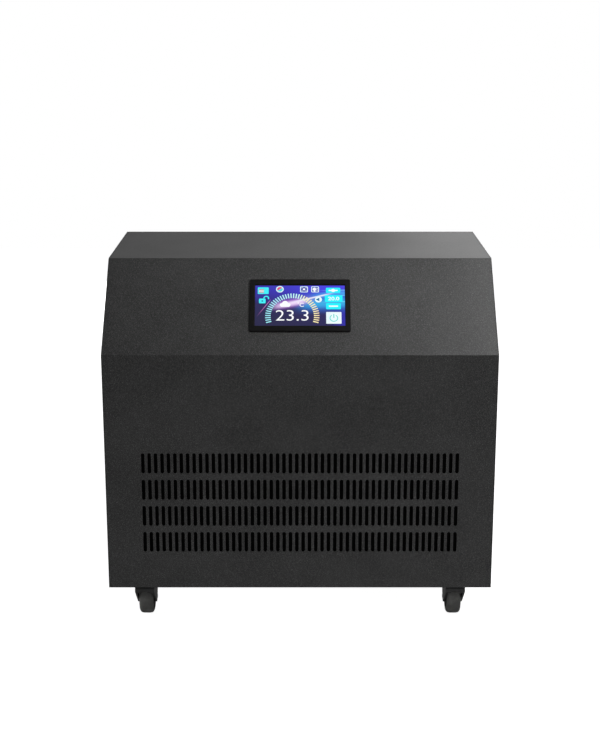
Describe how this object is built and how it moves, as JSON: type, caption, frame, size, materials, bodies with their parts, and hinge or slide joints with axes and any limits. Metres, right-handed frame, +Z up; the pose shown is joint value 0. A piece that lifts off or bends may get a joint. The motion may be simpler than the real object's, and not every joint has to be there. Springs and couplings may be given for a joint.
{
  "type": "water chiller",
  "caption": "Free-standing water chiller: black sheet-steel cabinet with sloping touch screen, slotted vents, rear hose ports and swivel casters.",
  "frame": {"origin": "middle of the footprint at floor level, where the wheels touch", "axes": "+X to the right as seen from the front, +Y from the front towards the rear ports, +Z up"},
  "size_m": [0.5544, 0.38, 0.526],
  "materials": {
    "cabinet_paint": "fine textured matt black powder coat",
    "screw_black": "black oxide pan heads",
    "bezel_plastic": "satin black moulding",
    "screen_glass": "glossy lit display behind touch glass",
    "galvanised_steel": "zinc coated sheet",
    "circuit_board": "solder mask",
    "black_plastic": "moulded nylon",
    "caster_steel": "black painted pressed steel",
    "bright_steel": "zinc plated",
    "wheel_nylon": "moulded nylon core",
    "wheel_tread": "dark grey tread",
    "compressor_paint": "semi gloss black",
    "motor_paint": "baked enamel",
    "foot_rubber": "moulded rubber",
    "filter_foam": "open-cell black foam",
    "hose_rubber": "smooth water hose",
    "fin_aluminium": "rolled fin stock",
    "copper": null,
    "fan_plastic": "glass filled nylon",
    "shell_plastic": "white moulded shell",
    "port_brass": "turned brass"
  },
  "bodies": {
    "root": {"base_tray": "cabinet_paint", "front_panel": "cabinet_paint", "hood": "cabinet_paint", "left_side_panel": "cabinet_paint", "right_side_panel": "cabinet_paint", "rear_panel": "cabinet_paint", "panel_screws": "screw_black", "air_filter": "filter_foam", "screen_bezel": "bezel_plastic", "screen_glass": "screen_glass", "screen_housing": "bezel_plastic", "electrical_box": "galvanised_steel", "control_board": "circuit_board", "mains_gland": "black_plastic", "rocker_housing": "black_plastic", "caster_plates": "caster_steel", "caster_balls": "bright_steel", "caster_bolts": "bright_steel", "compressor": "compressor_paint", "compressor_feet": "foot_rubber", "terminal_cover": "black_plastic", "condenser_fins": "fin_aluminium", "condenser_coil": "copper", "condenser_frame": "galvanised_steel", "fan_shroud": "galvanised_steel", "fan_motor": "motor_paint", "heat_exchanger": "shell_plastic", "filter_drier": "copper", "capillary_tube": "copper", "discharge_line": "copper", "liquid_line": "copper", "suction_line": "copper", "pump": "black_plastic", "pump_motor": "motor_paint", "inlet_port": "port_brass", "outlet_port": "port_brass", "port_nuts": "black_plastic", "inlet_hose": "hose_rubber", "transfer_hose": "hose_rubber", "outlet_hose": "hose_rubber"},
    "fl_swivel": {"caster_fl_fork": "caster_steel", "caster_fl_axle": "bright_steel"},
    "fl_wheel": {"caster_fl_wheel": "wheel_nylon", "caster_fl_tyre": "wheel_tread"},
    "fl_pedal": {"caster_fl_pedal": "caster_steel"},
    "fr_swivel": {"caster_fr_fork": "caster_steel", "caster_fr_axle": "bright_steel"},
    "fr_wheel": {"caster_fr_wheel": "wheel_nylon", "caster_fr_tyre": "wheel_tread"},
    "fr_pedal": {"caster_fr_pedal": "caster_steel"},
    "rl_swivel": {"caster_rl_fork": "caster_steel", "caster_rl_axle": "bright_steel"},
    "rl_wheel": {"caster_rl_wheel": "wheel_nylon", "caster_rl_tyre": "wheel_tread"},
    "rr_swivel": {"caster_rr_fork": "caster_steel", "caster_rr_axle": "bright_steel"},
    "rr_wheel": {"caster_rr_wheel": "wheel_nylon", "caster_rr_tyre": "wheel_tread"},
    "fan": {"fan_blades": "fan_plastic"},
    "rocker": {"power_rocker": "black_plastic"}
  },
  "joints": [
    {"name": "fl_swivel_turn", "type": "hinge", "parent": "root", "child": "fl_swivel", "pos_m": [-0.227, -0.145, 0.058], "axis": [0, 0, 1], "continuous": true},
    {"name": "fl_wheel_roll", "type": "hinge", "parent": "fl_swivel", "child": "fl_wheel", "pos_m": [-0.227, -0.125, 0.025], "axis": [1, 0, 0], "continuous": true},
    {"name": "fl_brake_press", "type": "hinge", "parent": "fl_swivel", "child": "fl_pedal", "pos_m": [-0.227, -0.107, 0.052], "axis": [-1, 0, 0], "range_deg": [0, 22]},
    {"name": "fr_swivel_turn", "type": "hinge", "parent": "root", "child": "fr_swivel", "pos_m": [0.227, -0.145, 0.058], "axis": [0, 0, 1], "continuous": true},
    {"name": "fr_wheel_roll", "type": "hinge", "parent": "fr_swivel", "child": "fr_wheel", "pos_m": [0.227, -0.125, 0.025], "axis": [1, 0, 0], "continuous": true},
    {"name": "fr_brake_press", "type": "hinge", "parent": "fr_swivel", "child": "fr_pedal", "pos_m": [0.227, -0.107, 0.052], "axis": [-1, 0, 0], "range_deg": [0, 22]},
    {"name": "rl_swivel_turn", "type": "hinge", "parent": "root", "child": "rl_swivel", "pos_m": [-0.227, 0.115, 0.058], "axis": [0, 0, 1], "continuous": true},
    {"name": "rl_wheel_roll", "type": "hinge", "parent": "rl_swivel", "child": "rl_wheel", "pos_m": [-0.227, 0.135, 0.025], "axis": [1, 0, 0], "continuous": true},
    {"name": "rr_swivel_turn", "type": "hinge", "parent": "root", "child": "rr_swivel", "pos_m": [0.227, 0.115, 0.058], "axis": [0, 0, 1], "continuous": true},
    {"name": "rr_wheel_roll", "type": "hinge", "parent": "rr_swivel", "child": "rr_wheel", "pos_m": [0.227, 0.135, 0.025], "axis": [1, 0, 0], "continuous": true},
    {"name": "fan_spin", "type": "hinge", "parent": "root", "child": "fan", "pos_m": [0, -0.0955, 0.196], "axis": [0, 1, 0], "continuous": true},
    {"name": "power_rocker_tilt", "type": "hinge", "parent": "root", "child": "rocker", "pos_m": [0.202, 0.157, 0.4405], "axis": [1, 0, 0], "range_deg": [-20, 0]}
  ]
}
